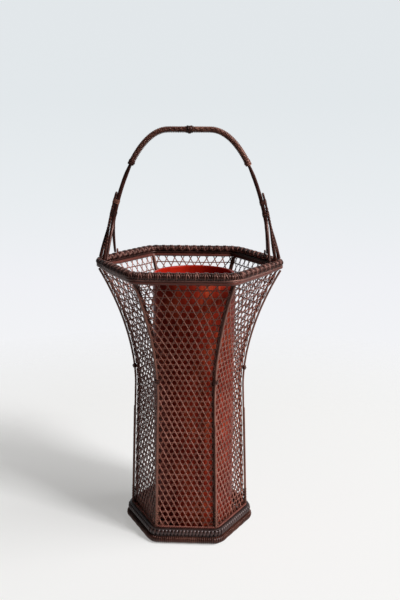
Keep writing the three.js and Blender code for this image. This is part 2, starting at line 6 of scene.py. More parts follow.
import bmesh
import bpy
import numpy as np
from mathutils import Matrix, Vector


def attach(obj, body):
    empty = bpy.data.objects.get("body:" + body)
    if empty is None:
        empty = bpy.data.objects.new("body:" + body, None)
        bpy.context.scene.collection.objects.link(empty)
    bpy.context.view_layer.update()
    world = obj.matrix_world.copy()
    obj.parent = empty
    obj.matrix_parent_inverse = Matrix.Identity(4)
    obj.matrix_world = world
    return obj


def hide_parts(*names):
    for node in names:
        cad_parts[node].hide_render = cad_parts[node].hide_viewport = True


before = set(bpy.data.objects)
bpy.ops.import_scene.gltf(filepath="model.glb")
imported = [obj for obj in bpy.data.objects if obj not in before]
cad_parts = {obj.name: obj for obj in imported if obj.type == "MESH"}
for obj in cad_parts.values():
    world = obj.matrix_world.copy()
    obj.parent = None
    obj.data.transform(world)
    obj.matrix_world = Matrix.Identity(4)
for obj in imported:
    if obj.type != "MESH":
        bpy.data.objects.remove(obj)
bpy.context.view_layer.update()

random.seed(11)

MM = 0.001
SIXTH = math.pi / 3
COS30 = math.cos(math.pi / 6)
TAN30 = math.tan(math.pi / 6)
UP = (0, 0, 1)
GAP = 0.3

# Body, measured from the axis to the outer face of a corner rib
MOUTH_RADIUS = 102
MOUTH_HEIGHT = 298
WAIST_RADIUS = 61.7
WAIST_HEIGHT = 165
HEEL_RADIUS = 66.5
HEEL_HEIGHT = 20
FLARE = 1.9

# Woven wall and floor
WALL_THICKNESS = 1
WEAVE_COLUMNS = 60
WEAVE_TURN = 0.6
WEAVE_BOTTOM = 2.0
WEAVE_TOP = 303
STRIP_WIDTH = 1.2
STRIP_THICKNESS = 0.6
STRIP_WAVE = 0.22
FLOOR_HEIGHT = 7
FLOOR_PITCH = 6.2
FLOOR_STRIP_WIDTH = 3.6
FLOOR_STRIP_THICKNESS = 0.5

# Corner ribs, with a sleeve on the lower part of the outer ones, and their ties
RIB_PROUD = 2
RIB_BOTTOM = 19
RIB_WIDE = 2.5
RIB_DEEP = 2.1
RIB_KNUCKLES = (62, 148, 231)
RIB_HEAD = 282
SLEEVE_BOTTOM = 17
SLEEVE_TOP = 136
SLEEVE_WIDE = 2.3
SLEEVE_DEEP = 1.5
INNER_RIB_BOTTOM = 9
INNER_RIB_WIDE = 3.0
INNER_RIB_DEEP = 2
TIE_HEIGHT = 184

# Rim, which thins towards the legs over the span LEG_CORNER along X
RIM_TOP = 308
RIM_TALL = 8
RIM_WIDE = 9
RIM_OVERHANG = 1.7
RIM_BEND = 22
RIM_PITCH = 9.3
LEG_CORNER = (80, 96)
GROOVE_CANE = 2.8
GROOVE_BEND = 14
HOOP_TALL = 4.2
HOOP_THICKNESS = 1.8
HOOP_BEND = 8
OUTER_HOOP_DEPTH = 1.9
OUTER_HOOP_THICKNESS = 3.0
WALL_TOP = RIM_TOP - RIM_TALL - GAP
HOOP_BOTTOM = WALL_TOP - HOOP_TALL

# Foot
FOOT_TALL = 8
FOOT_WIDE = 8
FOOT_INNER_BEND = 10
FOOT_PITCH = 2.15
BEAD_TALL = 7.4
BEAD_WIDE = 6.4
BEAD_PITCH = 3.9
FOOT_CORD = 2.6
FOOT_CORD_PITCH = 4.8

# Handle
ARCH_TOP = 444.3
FORK = (MOUTH_RADIUS - 20, 350)
ARCH_FLANK = (MOUTH_RADIUS - 32, 405)
ARCH_SHOULDER = (MOUTH_RADIUS - 54, ARCH_TOP)
ARCH_FLAT = MOUTH_RADIUS - 80
CANE_TALL = 3.4
CANE_TALL_ON_FLANK = 4.3
CANE_TALL_AT_FOOT = 2.6
CANE_WIDE = 2.4
CANE_FOOT_AWAY = 28.6
CANE_KNEE = 9
GRIP_END = 410
GRIP_WIDE = 5.8
GRIP_TALL = 6.3
GRIP_PITCH = 1.85
FLANK_TOP = 405.5
LEG_CANE = 2.4
LEG_CANE_AT_FOOT = 3.8
LEG_SPREAD_AT_FOOT = 2.0
LEG_TOP = 375.5
LEG_TURN_TOP = 344
LEG_TURN_BOTTOM = 316
LEG_FOOT = (MOUTH_RADIUS - 6.5, 307.8)
LEG_BOTTOM = 296.5
LEG_TIES = (("upper", 368), ("lower", 355.5))
LEG_SPREAD = (LEG_CANE + GAP) / 2
LEG_OFFSET = CANE_TALL_ON_FLANK / 2 + GAP + LEG_CANE / 2

# Loose tube
TUBE_RADIUS = 45
TUBE_WALL = 3.5
TUBE_BOTTOM = 8.3
TUBE_TOP = 292
TUBE_FLOOR = 7
TUBE_SHIFT = 5
TUBE_NODES = (92, 205)


def unit(vectors):
    """Vectors scaled to length 1."""
    vectors = np.asarray(vectors, dtype=float)
    return vectors / np.maximum(np.linalg.norm(vectors, axis=-1, keepdims=True), 1e-9)


def polar(angle):
    """The level direction at an angle round the axis."""
    return np.array([math.cos(angle), math.sin(angle), 0])


def left_of(direction):
    """The level direction to the left of another."""
    return np.array([-direction[1], direction[0], 0])


def directions(points, closed=False):
    """Directions of a line at each of its points."""
    if closed:
        return unit(np.roll(points, -1, 0) - np.roll(points, 1, 0))
    return unit(np.vstack([points[1:], points[-1:]]) - np.vstack([points[:1], points[:-1]]))


def lengths_along(points):
    """Length of a line from its start to each of its points."""
    steps = np.linalg.norm(np.diff(points, axis=0), axis=1)
    return np.concatenate([[0], np.cumsum(steps)])


def rib_radius(height):
    """Outer face of a corner rib, from the axis."""
    height = np.asarray(height, dtype=float)
    rise = np.maximum(height - WAIST_HEIGHT, 0) / (MOUTH_HEIGHT - WAIST_HEIGHT)
    drop = np.maximum(WAIST_HEIGHT - height, 0) / (WAIST_HEIGHT - HEEL_HEIGHT)
    upper = (MOUTH_RADIUS - WAIST_RADIUS) * rise ** FLARE
    return WAIST_RADIUS + upper + (HEEL_RADIUS - WAIST_RADIUS) * drop


def wall_apothem(height):
    """Outer face of the woven wall at the middle of a side, from the axis."""
    return (rib_radius(height) - RIB_PROUD) * COS30


def wall_slope(height):
    """How far the wall leans out with each millimetre of height."""
    return wall_apothem(height + 0.5) - wall_apothem(height - 0.5)


# Meshes

def oval(wide, thick, count=8):
    """Points round an oval section: across the strand, then outwards."""
    angles = np.arange(count) * 2 * math.pi / count + math.pi / count
    return np.stack([np.cos(angles) * wide / 2, np.sin(angles) * thick / 2], axis=1)


def crowned(wide, thick, side):
    """A section that is the same on both sides of its middle, as shares of its half width and half
    thickness: side goes from the bottom to near the top."""
    points = side + [(0, 1)] + [(-x, y) for x, y in side[::-1]] + [(0, -1)]
    return np.array(points) * (wide / 2, thick / 2)


def half_round(wide, thick):
    """Split cane: flat underneath and crowned on top."""
    return crowned(wide, thick, [(1, -0.6), (0.92, 0.24), (0.5, 0.84)])


class Piece:
    """The points and faces of one piece, with what its material reads about each strand."""

    def __init__(self):
        self.points = []
        self.faces = []
        self.along = []
        self.across = []
        self.tone = []
        self.count = 0

    def strand(self, centres, outs, section, closed=False, tone=None, sizes=None):
        """Sweep a section along centres; outs is the direction that the strand's top faces."""
        centres = np.asarray(centres, dtype=float)
        outs = np.broadcast_to(np.asarray(outs, dtype=float), centres.shape)
        section = np.asarray(section, dtype=float)
        tangents = directions(centres, closed)
        across = unit(np.cross(outs, tangents))
        ups = np.cross(tangents, across)
        sizes = np.ones(len(centres)) if sizes is None else np.asarray(sizes, dtype=float)
        sizes = sizes[:, None] if sizes.ndim == 1 else sizes
        flat = section[None, :, :] * sizes[:, None, :]
        rings = centres[:, None, :] + across[:, None, :] * flat[:, :, :1] + ups[:, None, :] * flat[:, :, 1:]
        count = len(centres)
        sides = len(section)
        spans = count if closed else count - 1
        first = np.arange(spans)[:, None] * sides
        second = ((np.arange(spans) + 1) % count)[:, None] * sides
        here = np.arange(sides)[None, :]
        after = (np.arange(sides) + 1)[None, :] % sides
        quads = np.stack([first + here, first + after, second + after, second + here], axis=2)
        self.faces.extend((quads.reshape(-1, 4) + self.count).tolist())
        if not closed:
            self.faces.append((np.arange(sides)[::-1] + self.count).tolist())
            self.faces.append((np.arange(sides) + self.count + (count - 1) * sides).tolist())
        self.points.append(rings.reshape(-1, 3))
        self.along.append(np.repeat(lengths_along(centres), sides))
        self.across.append(np.tile(section[:, 0] / np.abs(section[:, 0]).max(), count))
        tone = random.random() if tone is None else tone
        self.tone.append(np.full(count * sides, tone))
        self.count += count * sides

    def mesh(self, name):
        """The mesh of everything added so far, in metres."""
        mesh = bpy.data.meshes.new(name)
        points = np.concatenate(self.points) * MM
        mesh.from_pydata(points.tolist(), [], self.faces)
        for title, values in (("along", self.along), ("across", self.across), ("tone", self.tone)):
            attribute = mesh.attributes.new(title, "FLOAT", "POINT")
            attribute.data.foreach_set("value", np.concatenate(values).astype(np.float32))
        mesh.shade_smooth()
        mesh.set_sharp_from_angle(angle=math.radians(50))
        return mesh

    def place(self, name, material, slot, *replaces, body="basket"):
        """Put the piece in the scene, riding on its body."""
        mesh = self.mesh(name)
        mesh.materials.append(material)
        piece = bpy.data.objects.new(name, mesh)
        bpy.context.scene.collection.objects.link(piece)
        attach(piece, body)
        if replaces:
            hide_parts(*replaces)


class Path:
    """A line through points, measured by its length, with the direction that faces outwards."""

    def __init__(self, points, outs, closed=False):
        points = np.asarray(points, dtype=float)
        outs = np.broadcast_to(np.asarray(outs, dtype=float), points.shape)
        if closed:
            points = np.vstack([points, points[:1]])
            outs = np.vstack([outs, outs[:1]])
        self.lengths = lengths_along(points)
        self.points = points
        self.outs = outs
        self.closed = closed
        self.length = self.lengths[-1]

    def ring(self):
        """The points and outward directions of a closed line, without the repeat at its end."""
        return self.points[:-1], self.outs[:-1]

    def pick(self, values, s):
        """Values at lengths along the line, which are first brought back onto it."""
        s = np.mod(s, self.length) if self.closed else np.clip(s, 0, self.length)
        return np.stack([np.interp(s, self.lengths, values[:, k]) for k in range(3)], axis=1)

    def at(self, s):
        """Places, outward directions and sideways directions at lengths along the line."""
        s = np.asarray(s, dtype=float)
        step = 0.4
        tangent = unit(self.pick(self.points, s + step) - self.pick(self.points, s - step))
        up = unit(np.cross(self.pick(self.outs, s), tangent))
        return self.pick(self.points, s), np.cross(tangent, up), up


def wind(piece, path, wide, tall, pitch, section, start=0, end=None, hand=1, phase=0, steps=14, weave=None,
         closed=False, lean=0, square=2.0, size=None):
    """Wind one strand round a path, from one length along it to another. Wide is measured along the
    path's outward direction, tall across it. Weave gives the distance by which the strand rises and
    dips, from its turn. Square above 2 fills the corners of what is wound, and size lets the turn grow
    or shrink from place to place."""
    end = path.length if end is None else end
    turns = (end - start) / pitch
    if closed:
        turns = round(turns)
    count = max(int(turns * steps), 6)
    share = np.arange(count) / count if closed else np.linspace(0, 1, count + 1)
    angle = phase + hand * 2 * math.pi * turns * share
    s = start + (end - start) * share + lean * np.sin(angle)
    centre, out, up = path.at(s)
    rise = np.zeros(len(angle)) if weave is None else weave(angle, s)
    cosine = np.cos(angle)[:, None]
    sine = np.sin(angle)[:, None]
    normal = unit(out * cosine * tall + up * sine * wide)
    full = (np.abs(cosine) ** square + np.abs(sine) ** square) ** (-1 / square)
    if size is not None:
        full = full * size(centre)[:, None]
    centres = centre + (out * cosine * wide / 2 + up * sine * tall / 2) * full + normal * rise[:, None]
    piece.strand(centres, normal, section, closed=closed)


def hexagon_path(apothem, bend, height, side_steps=24, bend_steps=8):
    """A level ring with rounded corners."""
    points = []
    outs = []
    straight = (apothem - bend) * TAN30
    for side in range(6):
        facing = (side + 0.5) * SIXTH
        out = polar(facing)
        for i in range(side_steps):
            away = straight * (2 * i / side_steps - 1)
            points.append(out * apothem + left_of(out) * away)
            outs.append(out)
        centre = polar((side + 1) * SIXTH) * (apothem - bend) / COS30
        for i in range(bend_steps):
            out = polar(facing + SIXTH * i / bend_steps)
            points.append(centre + out * bend)
            outs.append(out)
    return Path(np.array(points) + (0, 0, height), outs, closed=True)


# Body

def weave_heights():
    """Heights of the weave's rows. Measured along the wall they are about as far apart as its columns,
    a little more on the flare and a little less just under the rim."""
    heights = [WEAVE_BOTTOM]
    while heights[-1] < WEAVE_TOP + 12:
        height = heights[-1]
        pitch = 6 * (float(rib_radius(height)) - RIB_PROUD) / WEAVE_COLUMNS
        lean = float(wall_slope(height))
        on_flare = math.exp(-((height - 250) / 30) ** 2)
        under_rim = min(max((height - 275) / 20, 0), 1)
        share = 0.98 + 0.05 * on_flare - 0.06 * under_rim
        heights.append(height + share * pitch / math.sqrt(1 + lean * lean))
    return np.array(heights)


ROWS = weave_heights()
TOP_ROW = float(np.interp(WEAVE_TOP, ROWS, np.arange(len(ROWS))))


def wall_places(columns, rows, proud):
    """Places and outward directions on the wall, from counts of columns round it and rows up it."""
    turn = np.mod(columns + WEAVE_TURN, WEAVE_COLUMNS) * 6 / WEAVE_COLUMNS
    side = np.minimum(np.floor(turn + 1e-6), 5)
    share = np.clip(turn - side, 0, 1)
    facing = (side + 0.5) * SIXTH
    out = np.stack([np.cos(facing), np.sin(facing)], axis=1)
    along = np.stack([-out[:, 1], out[:, 0]], axis=1)
    height = np.interp(rows, np.arange(len(ROWS)), ROWS)
    distance = wall_apothem(height) - WALL_THICKNESS / 2
    flat = out * distance[:, None] + along * ((2 * share - 1) * distance * TAN30)[:, None]
    lean = wall_slope(height)
    normals = unit(np.column_stack([out, -lean]))
    at_corner = np.minimum(share, 1 - share) < 1e-3
    corner = np.round(turn) * SIXTH
    bisector = unit(np.column_stack([np.cos(corner), np.sin(corner), -lean]))
    normals[at_corner] = bisector[at_corner]
    places = np.column_stack([flat, height])
    return places + normals * np.asarray(proud)[:, None], normals


def make_weave():
    """Three families of strips. Each passes over one of the others and under the third, and strays a little
    from its line. Their tones are painted light: lighter on the falling strips as a painted highlight,
    darker on the rising and level ones as painted shade."""
    section = half_round(STRIP_WIDTH, STRIP_THICKNESS)
    rising = Piece()
    falling = Piece()
    level = Piece()
    rows = np.arange(int(TOP_ROW * 4) + 1) / 4
    wave = STRIP_WAVE * np.cos(2 * math.pi * rows)
    for i in range(WEAVE_COLUMNS):
        drift = 0.05 * math.sin(i * 2.3) + random.uniform(-0.03, 0.03)
        sway = drift * np.sin(rows * 0.37 + i)
        columns = i + rows / 2 + sway * (np.mod(rows, 2) > 0.1)
        places, normals = wall_places(columns, rows, -wave)
        # Rising strips take middling tones: painted shade, darker than the falling strips.
        rising.strand(places, normals, section, tone=random.uniform(0.1, 0.6))
        sway = random.uniform(-0.05, 0.05) * np.sin(rows * 0.29 + i * 1.7)
        columns = i + 0.5 - rows / 2 + sway * (np.mod(rows - 1, 2) > 0.1)
        places, normals = wall_places(columns, rows, wave + 0.08)
        # Falling strips take the lightest tones: a painted highlight along this family.
        falling.strand(places, normals, section, tone=random.uniform(0.45, 1.0))
    columns = np.arange(WEAVE_COLUMNS * 4) / 4
    for row in range(1, int(TOP_ROW) + 1):
        wobble = 0.03 * np.sin(columns * 0.8 + row * 2.1) + random.uniform(-0.02, 0.02)
        wave = STRIP_WAVE * np.cos(2 * math.pi * (columns - row / 2))
        places, normals = wall_places(columns, row + wobble, wave - 0.05)
        # Level strips take the darkest tones: painted shade.
        level.strand(places, normals, section, closed=True, tone=random.uniform(0.0, 0.5))
    return rising, falling, level


def corner_line(corner, heights, proud):
    """A line along a corner of the body, so far outside the rib's own outer face."""
    radius = rib_radius(heights) + proud
    slope = rib_radius(heights + 0.5) - rib_radius(heights - 0.5)
    places = np.outer(radius, polar(corner)) + np.outer(heights, UP)
    return places, unit(polar(corner) - np.outer(slope, UP))


def rib_section(wide, deep):
    """A split bar: flat underneath, with straight sides and a rounded outer face."""
    return crowned(wide, deep, [(1, -1), (1, -0.3), (0.94, 0.3), (0.72, 0.7), (0.38, 0.94)])


def make_rib(corner):
    """An outer corner rib: a bar from the foot to the hoop, with a sleeve over its lower part."""
    rib = Piece()
    heights = np.concatenate([np.arange(RIB_BOTTOM, HOOP_BOTTOM - 1, 3), [HOOP_BOTTOM - 0.4]])
    places, outs = corner_line(corner, heights, 0.25 - RIB_DEEP / 2)
    wander = 0.12 * np.sin(heights * 0.11 + corner * 5)
    places += np.outer(wander, left_of(polar(corner)))
    knuckles = sum(np.exp(-((heights - height) / 2.0) ** 2) for height in RIB_KNUCKLES)
    sizes = 1 + 0.1 * np.clip((heights - RIB_HEAD) / 14, 0, 1) + 0.07 * knuckles
    # The outer bar and its sleeve take high tones: a painted lit copy of the bar material that the inner
    # ribs take dark.
    rib.strand(places, outs, rib_section(RIB_WIDE, RIB_DEEP), sizes=sizes, tone=0.75)
    heights = np.concatenate([np.arange(SLEEVE_BOTTOM, SLEEVE_TOP - 2, 3), [SLEEVE_TOP - 1, SLEEVE_TOP]])
    places, outs = corner_line(corner, heights, 0.1)
    sizes = np.ones(len(heights))
    sizes[-1] = 0.7
    rib.strand(places, outs, rib_section(SLEEVE_WIDE, SLEEVE_DEEP), sizes=sizes, tone=0.7)
    return rib


def make_inner_rib(corner):
    """The rib that faces an outer one from inside the wall's corner."""
    rib = Piece()
    heights = np.concatenate([np.arange(INNER_RIB_BOTTOM, HOOP_BOTTOM - 1, 4), [HOOP_BOTTOM - 0.4]])
    back = RIB_PROUD + (WALL_THICKNESS + GAP) / COS30
    places, outs = corner_line(corner, heights, -back - 1.75)
    # The inner rib takes a low tone: painted shade inside the wall's corner, a darker copy of the outer
    # bars' material.
    rib.strand(places, -outs, rib_section(INNER_RIB_WIDE, INNER_RIB_DEEP), tone=0.1)
    return rib


def make_rib_wraps(corner):
    """Fine lashing over a rib: close turns and a knot at the tie, and crossed ones near the foot."""
    wraps = Piece()
    heights = np.arange(17, 292, 0.5)
    places, outs = corner_line(corner, heights, -0.9)
    path = Path(places, outs)

    def between(low, high):
        """Lengths along the rib at two heights."""
        return [float(np.interp(height, heights, path.lengths)) for height in (low, high)]

    tie = between(TIE_HEIGHT - 1.8, TIE_HEIGHT + 1.8)
    knot = between(TIE_HEIGHT - 0.7, TIE_HEIGHT + 0.7)
    wind(wraps, path, 3.6, 5.6, 1.1, oval(1.15, 0.7), *tie, phase=corner)
    wind(wraps, path, 4.6, 4.2, 1.4, oval(1.3, 0.9), *knot, phase=corner + 1, hand=-1)
    for hand, phase in ((1, corner), (-1, 1.2)):
        wind(wraps, path, 3.6, 4.2, 3.3, oval(0.9, 0.5), *between(18, 36), hand=hand, phase=phase)
    return wraps


# Rim

RIM_APOTHEM = float(wall_apothem(WALL_TOP)) - WALL_THICKNESS / 2 + RIM_OVERHANG
RIM_PATH = hexagon_path(RIM_APOTHEM, RIM_BEND, RIM_TOP - RIM_TALL / 2, side_steps=24, bend_steps=12)


def near_leg(places):
    """1 at the two corners where the legs stand, 0 a little way off them."""
    start, end = LEG_CORNER
    tip = np.clip((np.abs(places[:, 0]) - start) / (end - start), 0, 1)
    return tip * tip * (3 - 2 * tip)


def rim_size(places):
    """The roll is thinnest where the legs stand on it, and fullest between the corners."""
    return 1.05 - 0.27 * near_leg(places)


def make_rim_core():
    """The bundle inside the winding, and a cane in the groove under it on each side of the wall."""
    core = Piece()
    points, outs = RIM_PATH.ring()
    core.strand(points, outs, oval(RIM_TALL - 2.2, RIM_WIDE - 2.2, 12), closed=True, sizes=rim_size(points))
    apothem = float(wall_apothem(WALL_TOP))
    for depth, height in ((2.6, WALL_TOP + 0.7), (-2.9, WALL_TOP + 0.5)):
        points, outs = hexagon_path(apothem + depth, GROOVE_BEND + depth, height).ring()
        core.strand(points, outs, oval(GROOVE_CANE, GROOVE_CANE), closed=True,
                    sizes=1 - 0.55 * near_leg(points))
    return core


def make_rim_wraps():
    """Four strands side by side in each step, upright on the outside and slanted over the top."""
    wraps = Piece()
    lean = -RIM_PITCH / (2 * math.pi)
    for k in range(4):
        wind(wraps, RIM_PATH, RIM_WIDE - 1.7, RIM_TALL - 1.5, RIM_PITCH, half_round(1.95, 1.15),
             phase=2 * math.pi * k / 4, closed=True, lean=lean, steps=26, size=rim_size)
    return wraps


def make_rim_loops():
    """The strand that crosses the others over the top and gives the rim its scalloped edge."""
    loops = Piece()
    for k in range(2):
        wind(loops, RIM_PATH, RIM_WIDE - 1.5, RIM_TALL - 1.5, RIM_PITCH, half_round(1.8, 1.1), hand=-1,
             phase=0.5 + 2 * math.pi * k * 1.9 / RIM_PITCH, closed=True, steps=26, size=rim_size,
             weave=lambda angle, s: 0.5 * np.sin(angle) - 0.3 * np.cos(angle))
    return loops


def make_hoop(depth, thick):
    """A flat split-cane hoop against the wall, tilted with it."""
    height = (HOOP_BOTTOM + WALL_TOP) / 2 + 0.1
    apothem = float(wall_apothem(height)) + depth
    points, outs = hexagon_path(apothem, HOOP_BEND + depth, height, side_steps=16).ring()
    tilted = unit(outs + (0, 0, -float(wall_slope(height))))
    tall = 1 - 0.6 * near_leg(points)
    points[:, 2] += (1 - tall) * HOOP_TALL / 2
    band = crowned(HOOP_TALL + 0.4, thick, [(1, -1), (1, 0.5), (0.8, 0.9)])
    hoop = Piece()
    hoop.strand(points, tilted, band, closed=True, sizes=np.column_stack([tall, np.ones(len(points))]))
    return hoop


# Foot

def foot_path(bottom, tall, wide):
    """A ring that bends round the wall's corners and stands a little off its sides."""
    corner = float(rib_radius(bottom)) - RIB_PROUD + GAP
    apothem = corner * COS30 + (1 - COS30) * FOOT_INNER_BEND + wide / 2
    bend = FOOT_INNER_BEND + wide / 2
    return hexagon_path(apothem, bend, bottom + tall / 2, side_steps=20, bend_steps=10)


def make_foot_roll():
    """The winding that the basket stands on: one strand round and round a bundle."""
    path = foot_path(0, FOOT_TALL, FOOT_WIDE)
    core = Piece()
    # The bundle takes the darkest tone: painted shade in the gaps between the turns of the winding.
    core.strand(*path.ring(), oval(FOOT_TALL - 1.6, FOOT_WIDE - 1.6, 12), closed=True, tone=0)
    wraps = Piece()
    wind(wraps, path, FOOT_WIDE - 1.1, FOOT_TALL - 1.1, FOOT_PITCH, half_round(1.6, 1.25), closed=True,
         steps=18, weave=lambda angle, s: 0.12 * np.sin(2 * math.pi * s / 13 + 1))
    return core, wraps


def make_foot_beads():
    """A row of upright beads: each is one turn of a thick strand, over a bundle with canes in its
    grooves."""
    bottom = FOOT_TALL + GAP
    path = foot_path(bottom, BEAD_TALL, BEAD_WIDE)
    pitch = path.length / round(path.length / BEAD_PITCH)
    beads = Piece()
    wind(beads, path, BEAD_WIDE - 1.7, BEAD_TALL - 1.3, pitch, oval(3.3, 2.3), closed=True, steps=20)
    core = Piece()
    points, outs = path.ring()
    for height in (bottom - GAP / 2, bottom + BEAD_TALL + GAP / 2):
        core.strand(points * (1, 1, 0) + (0, 0, height), outs, oval(2.4, 3.4), closed=True)
    core.strand(points, outs, oval(BEAD_TALL - 2.2, BEAD_WIDE - 2.2, 10), closed=True)
    return core, beads


def make_foot_cord():
    """Two fine strands twisted together, over the beads."""
    path = foot_path(FOOT_TALL + BEAD_TALL + 2 * GAP, FOOT_CORD, FOOT_CORD)
    across = FOOT_CORD * 0.46
    cord = Piece()
    for phase in (0, math.pi):
        wind(cord, path, across, across, FOOT_CORD_PITCH, oval(1.4, 1.4), closed=True, phase=phase,
             steps=12)
    return cord


def make_floor():
    """A plain three-way weave across the bottom, inside the wall."""
    floor = Piece()
    reach = (float(rib_radius(FLOOR_HEIGHT)) - RIB_PROUD - 2.2) * COS30
    for family in range(3):
        along = polar(family * SIXTH)
        for k in range(-9, 10):
            offset = k * FLOOR_PITCH * COS30 + FLOOR_PITCH * 0.1
            if abs(offset) > reach - 1:
                continue
            half = (reach / COS30 * 2 - abs(offset) / COS30) / 2
            t = np.arange(-half, half + 0.1, FLOOR_PITCH / 4)
            lift = 0.3 * np.cos(2 * math.pi * (t / FLOOR_PITCH + k / 2) + family * 2.1)
            places = np.outer(t, along) + left_of(along) * offset + np.outer(FLOOR_HEIGHT + lift, UP)
            floor.strand(places, UP, half_round(FLOOR_STRIP_WIDTH, FLOOR_STRIP_THICKNESS))
    return floor


# Handle

def arch_right(count=90):
    """The right half of the arch's middle line, from its top to the fork."""
    t = np.linspace(0, 1, count)[:, None]
    u = 1 - t
    flat = np.column_stack([np.linspace(0, ARCH_FLAT, 14)[:-1], np.full(13, ARCH_TOP)])
    start, shoulder, flank, end = np.array([(ARCH_FLAT, ARCH_TOP), ARCH_SHOULDER, ARCH_FLANK, FORK])
    bend = u ** 3 * start + 3 * u ** 2 * t * shoulder + 3 * u * t ** 2 * flank + t ** 3 * end
    line = np.vstack([flat, bend])
    return np.column_stack([line[:, 0], np.zeros(len(line)), line[:, 1]])


def mirror(points):
    """The same points on the other side of the basket."""
    return points * (-1, 1, 1)


RIGHT_HALF = arch_right()
ARCH_LINE = np.vstack([mirror(RIGHT_HALF[1:])[::-1], RIGHT_HALF])


def in_plane_outs(points):
    """Directions square to a line in the plane of the arch, away from the basket's middle."""
    tangents = directions(points)
    return np.column_stack([-tangents[:, 2], np.zeros(len(points)), tangents[:, 0]])


ARCH_PATH = Path(ARCH_LINE, in_plane_outs(ARCH_LINE))


def arch_length(height, sign):
    """Length along the arch, from its left fork, to a height on its left or right side."""
    away = float(np.interp(-height, -RIGHT_HALF[:, 2], lengths_along(RIGHT_HALF)))
    return ARCH_PATH.length / 2 + sign * away


def cane_foot(side):
    """The end of a cane on the rim, at the right, in front (-1) or behind (1)."""
    x = (RIM_APOTHEM - CANE_FOOT_AWAY / 2) / COS30
    return np.array([x, side * CANE_FOOT_AWAY, RIM_TOP + GAP + 1])


def cane_tall_at(height):
    """A cane is thickest on its flanks, between the grip and the fork, and tapers to its feet."""
    into_grip = np.clip(1 + (height - FLANK_TOP) / 8, 0, 1)
    from_foot = np.clip((height - RIM_TOP) / (FORK[1] - RIM_TOP), 0, 1)
    above = CANE_TALL_ON_FLANK + (CANE_TALL - CANE_TALL_ON_FLANK) * into_grip
    below = CANE_TALL_AT_FOOT + (CANE_TALL_ON_FLANK - CANE_TALL_AT_FOOT) * from_foot
    return np.where(height > FORK[1], above, below)


def make_cane(side):
    """A cane of the handle, from its left foot over the arch to its right one, with a few knuckles."""
    right = RIGHT_HALF + (0, side * (CANE_WIDE + GAP) / 2, 0)
    start = right[-1]
    knee = start + unit(RIGHT_HALF[-1] - RIGHT_HALF[-2]) * CANE_KNEE
    t = np.linspace(0, 1, 24)[1:, None]
    leg = (1 - t) ** 2 * start + 2 * (1 - t) * t * knee + t ** 2 * cane_foot(side)
    line = np.vstack([right, leg])
    line = np.vstack([mirror(line[1:])[::-1], line])
    lengths = lengths_along(line)
    knuckles = (31 + 7 * side, 118, 205, 262 - 5 * side, 340, 404)
    full = 1 + 0.09 * sum(np.exp(-((lengths - place) / 1.3) ** 2) for place in knuckles)
    tall = cane_tall_at(line[:, 2]) / CANE_TALL * full
    cane = Piece()
    cane.strand(line, in_plane_outs(line), oval(CANE_WIDE, CANE_TALL, 12),
                sizes=np.column_stack([full, tall]))
    return cane


def make_grip():
    """Fine winding over the canes, with two lacing strands that cross along its front and back."""
    grip = Piece()
    first = arch_length(GRIP_END, -1)
    last = arch_length(GRIP_END, 1)
    wind(grip, ARCH_PATH, GRIP_WIDE, GRIP_TALL, GRIP_PITCH, half_round(1.6, 0.9), first, last, steps=18)
    lacing = Piece()
    s = np.arange(first, last, 0.4)
    centre, out, up = ARCH_PATH.at(s)
    for face in (-1, 1):
        for phase in (0, math.pi):
            angle = face * math.pi / 2 + 0.5 * np.sin(2 * math.pi * s / 11 + phase)
            cosine = np.cos(angle)[:, None]
            sine = np.sin(angle)[:, None]
            proud = 0.95 + 0.16 * np.cos(2 * math.pi * s / 5.5 + phase)[:, None]
            places = centre + out * cosine * (GRIP_WIDE + proud) / 2 + up * sine * (GRIP_TALL + proud) / 2
            lacing.strand(places, unit(out * cosine + up * sine), oval(1.0, 0.6))
    return grip, lacing


def make_knot(middle, turns, pitch, wide, tall, thick):
    """A knot round the grip: close turns that swell in the middle, and two crossing ones over them."""
    knot = Piece()
    half = turns * pitch / 2

    def swell(share):
        """A rise that is fullest at the knot's middle."""
        return lambda angle, s: thick * share * np.cos((s - middle) / half * math.pi / 2)

    wind(knot, ARCH_PATH, wide, tall, pitch, oval(pitch * 1.02, thick), middle - half, middle + half,
         steps=20, weave=swell(0.7))
    for hand in (-1, 1):
        wind(knot, ARCH_PATH, wide + thick * 1.6, tall + thick * 1.6, half * 1.4, oval(pitch, thick * 0.8),
             middle - half * 0.7, middle + half * 0.7, steps=24, hand=hand, phase=0.6, weave=swell(0.45))
    return knot


def smooth_line(points, count):
    """A smooth line through points."""
    points = np.asarray(points, dtype=float)
    steps = np.sqrt(np.linalg.norm(np.diff(points, axis=0), axis=1))
    knots = np.concatenate([[0], np.cumsum(steps)])
    slopes = np.gradient(points, knots, axis=0)
    at = np.linspace(0, knots[-1], count)
    k = np.clip(np.searchsorted(knots, at, side="right") - 1, 0, len(points) - 2)
    span = (knots[k + 1] - knots[k])[:, None]
    u = ((at - knots[k]) / (knots[k + 1] - knots[k]))[:, None]
    return ((2 * u ** 3 - 3 * u ** 2 + 1) * points[k] + (u ** 3 - 2 * u ** 2 + u) * span * slopes[k]
            + (-2 * u ** 3 + 3 * u ** 2) * points[k + 1] + (u ** 3 - u ** 2) * span * slopes[k + 1])


def leg_turn(height, bottom):
    """How far a leg has turned or spread at a height: 0 at the top of the turn, 1 at its bottom."""
    return np.clip((LEG_TURN_TOP - height) / (LEG_TURN_TOP - bottom), 0, 1)


def leg_line():
    """Middle line of the right corner leg, from its loop beside the arch down to the rim."""
    heights = (LEG_TOP, LEG_TOP - 7, LEG_TOP - 14, FORK[1] + 3)
    centre, out = ARCH_PATH.at([arch_length(height, 1) for height in heights])[:2]
    high = centre + out * LEG_OFFSET
    foot = (LEG_FOOT[0], 0, LEG_FOOT[1])
    return smooth_line(np.vstack([high, (high[-1] + foot) / 2, foot]), 60)


